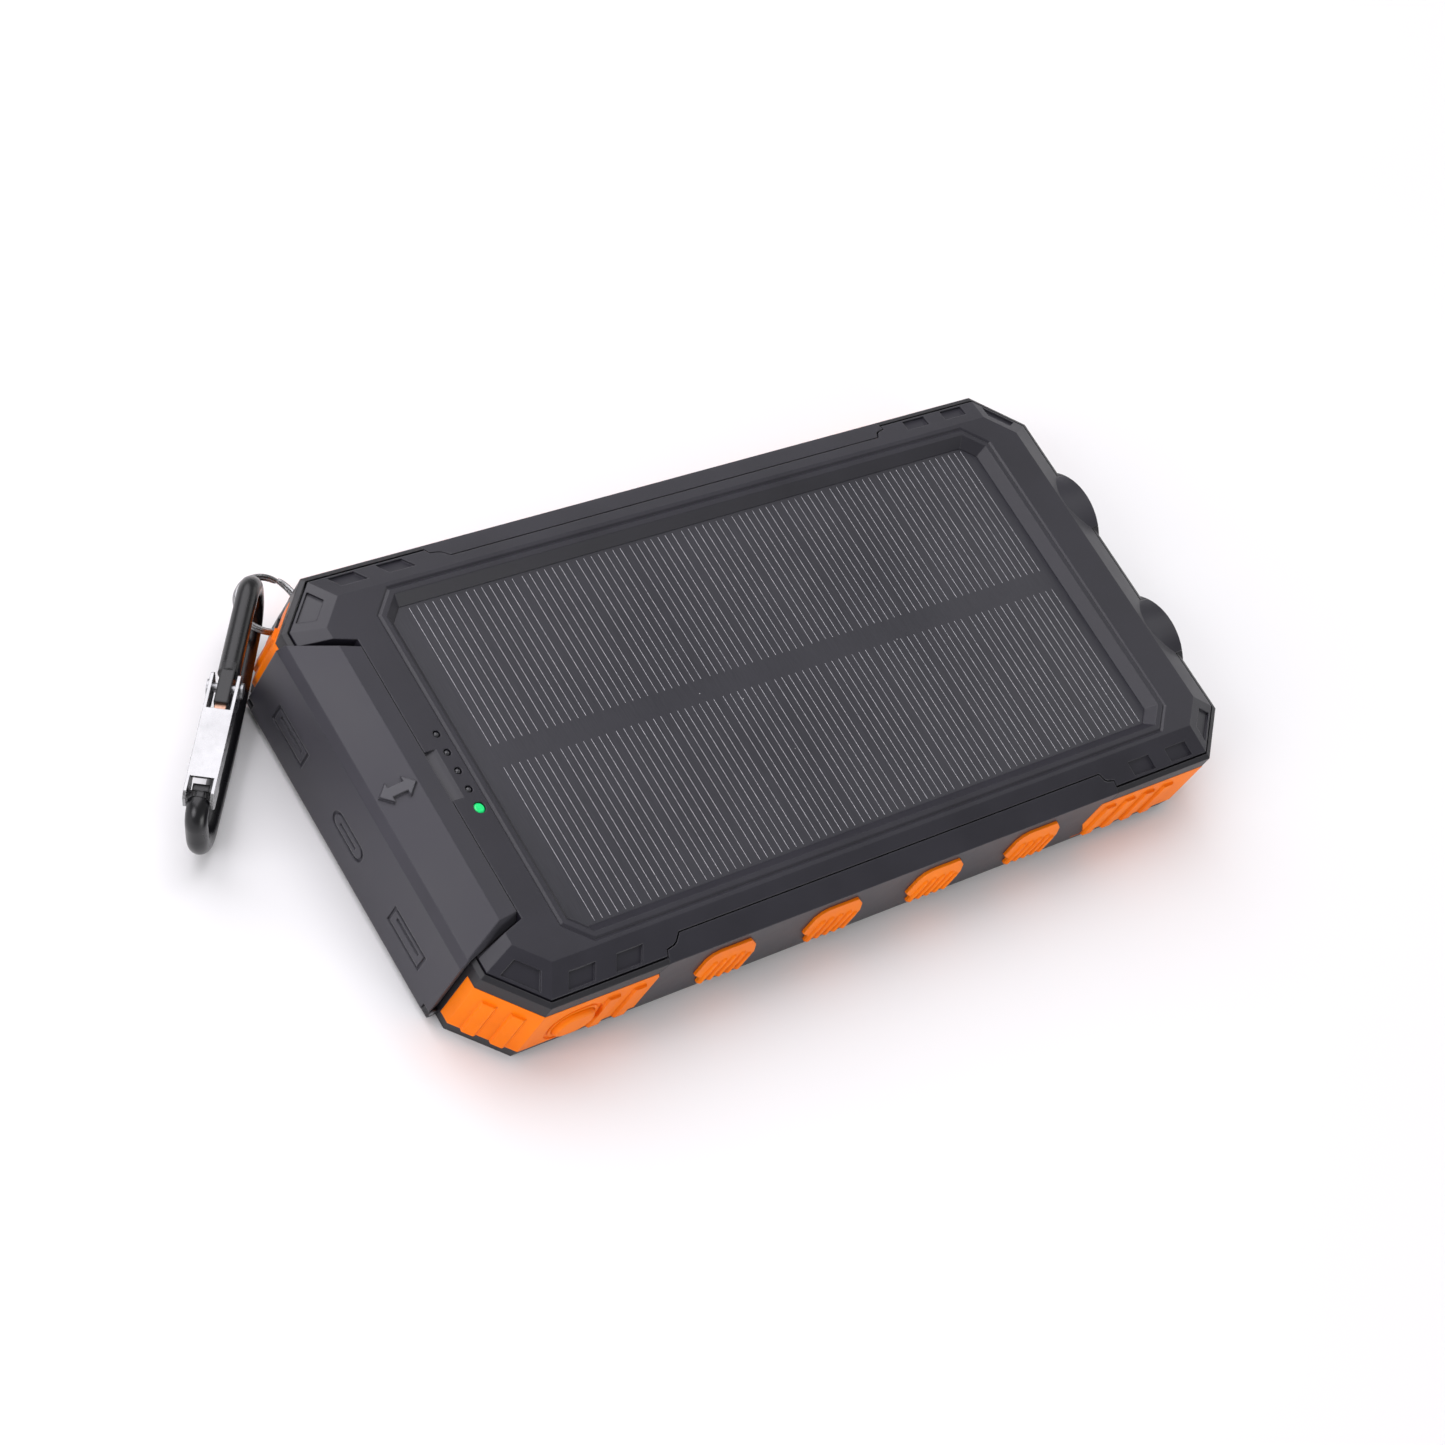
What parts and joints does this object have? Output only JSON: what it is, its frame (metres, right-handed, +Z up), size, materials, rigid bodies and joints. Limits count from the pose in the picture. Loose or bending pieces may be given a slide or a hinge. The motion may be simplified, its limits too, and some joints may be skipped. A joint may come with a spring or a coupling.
{
  "type": "solar phone charger",
  "caption": "Rugged solar power bank with orange corner bumpers, twin torches, a port cover and a clip-on carabiner.",
  "frame": {"origin": "centre of the flat bottom of the case", "axes": "+X from the port cover end to the torch end, +Y to the side away from the power button, +Z up through the solar panel"},
  "size_m": [0.1783, 0.0819, 0.019],
  "materials": {
    "shell_black": "fine matte texture",
    "frame_black": "satin soft-touch",
    "grip_orange": "matte orange rubber",
    "cover_rubber": "matte silicone",
    "solar_film": "textured laminate",
    "board_green": "solder mask",
    "light_pipe": "frosted",
    "power_light": "lit green",
    "steel": "satin",
    "bright_steel": "bright zinc plate",
    "chip_black": "matte",
    "capacitor_can": "satin",
    "cell_foil": "satin foil",
    "foam_grey": "foam",
    "lead_red": "insulation",
    "bezel_black": "gloss",
    "reflector_chrome": "mirror",
    "lens_clear": "clear",
    "anodised_black": "black anodised",
    "pusher_copper": "dull"
  },
  "bodies": {
    "root": {"battery_cell_back": "cell_foil", "battery_cell_front": "cell_foil", "battery_foam_pads": "foam_grey", "battery_leads": "lead_red", "board_chips": "chip_black", "bottom_shell": "shell_black", "bumper_back_left": "grip_orange", "bumper_back_right": "grip_orange", "bumper_front_left": "grip_orange", "bumper_front_right": "grip_orange", "capacitors": "capacitor_can", "case_screws": "steel", "cell_tabs": "steel", "cover_hinge_pin": "steel", "frame_gasket": "cover_rubber", "grip_pads_back": "grip_orange", "grip_pads_front": "grip_orange", "indicator_lamps": "power_light", "lanyard_post": "anodised_black", "light_pipes": "light_pipe", "main_board": "board_green", "power_inductor": "chip_black", "power_light_pipe": "power_light", "protection_board": "board_green", "side_rail_back": "frame_black", "side_rail_front": "frame_black", "side_switch": "chip_black", "solar_backing_board": "board_green", "solar_laminate": "solar_film", "top_frame": "frame_black", "torch_bezel_back": "bezel_black", "torch_bezel_front": "bezel_black", "torch_board": "board_green", "torch_lamps": "power_light", "torch_leads": "lead_red", "torch_lens_back": "lens_clear", "torch_lens_front": "lens_clear", "torch_reflector_back": "reflector_chrome", "torch_reflector_front": "reflector_chrome", "usb_a_port_1": "steel", "usb_a_port_2": "steel", "usb_a_tongues": "chip_black", "usb_c_port": "steel", "usb_c_tongue": "chip_black"},
    "cover": {"port_cover": "cover_rubber"},
    "button": {"power_button": "grip_orange", "switch_plunger": "chip_black"},
    "ring": {"split_ring": "bright_steel"},
    "clip": {"carabiner_body": "anodised_black", "gate_rivet": "steel", "gate_pusher": "pusher_copper"},
    "gate": {"carabiner_gate": "bright_steel"}
  },
  "joints": [
    {"name": "port_cover_hinge", "type": "hinge", "parent": "root", "child": "cover", "pos_m": [-0.07685, 0, 0.0016], "axis": [0, -1, 0], "range_deg": [0, 90]},
    {"name": "power_button_press", "type": "slide", "parent": "root", "child": "button", "axis": [0, 1, 0], "range_m": [0, 0.0003], "stiffness_N_per_m": 400, "springref_m": -0.002},
    {"name": "ring_swing", "type": "hinge", "parent": "root", "child": "ring", "pos_m": [-0.0678, 0.03633, 0.008], "axis": [0, 0, 1], "range_deg": [-30, 0]},
    {"name": "carabiner_lift", "type": "hinge", "parent": "ring", "child": "clip", "pos_m": [-0.07215, 0.0398, 0.008], "axis": [-0.7738, 0.6334, 0], "range_deg": [0, 14]},
    {"name": "carabiner_gate", "type": "hinge", "parent": "clip", "child": "gate", "pos_m": [-0.0869, 0.02493, 0.01285], "axis": [0.7204, -0.6027, 0.3432], "range_deg": [0, 25], "stiffness_Nm_per_rad": 0.002, "springref_deg": -20.05}
  ],
  "couplings": [
    {"joint": "ring_swing", "follows": "port_cover_hinge", "ratio": -0.33333}
  ]
}
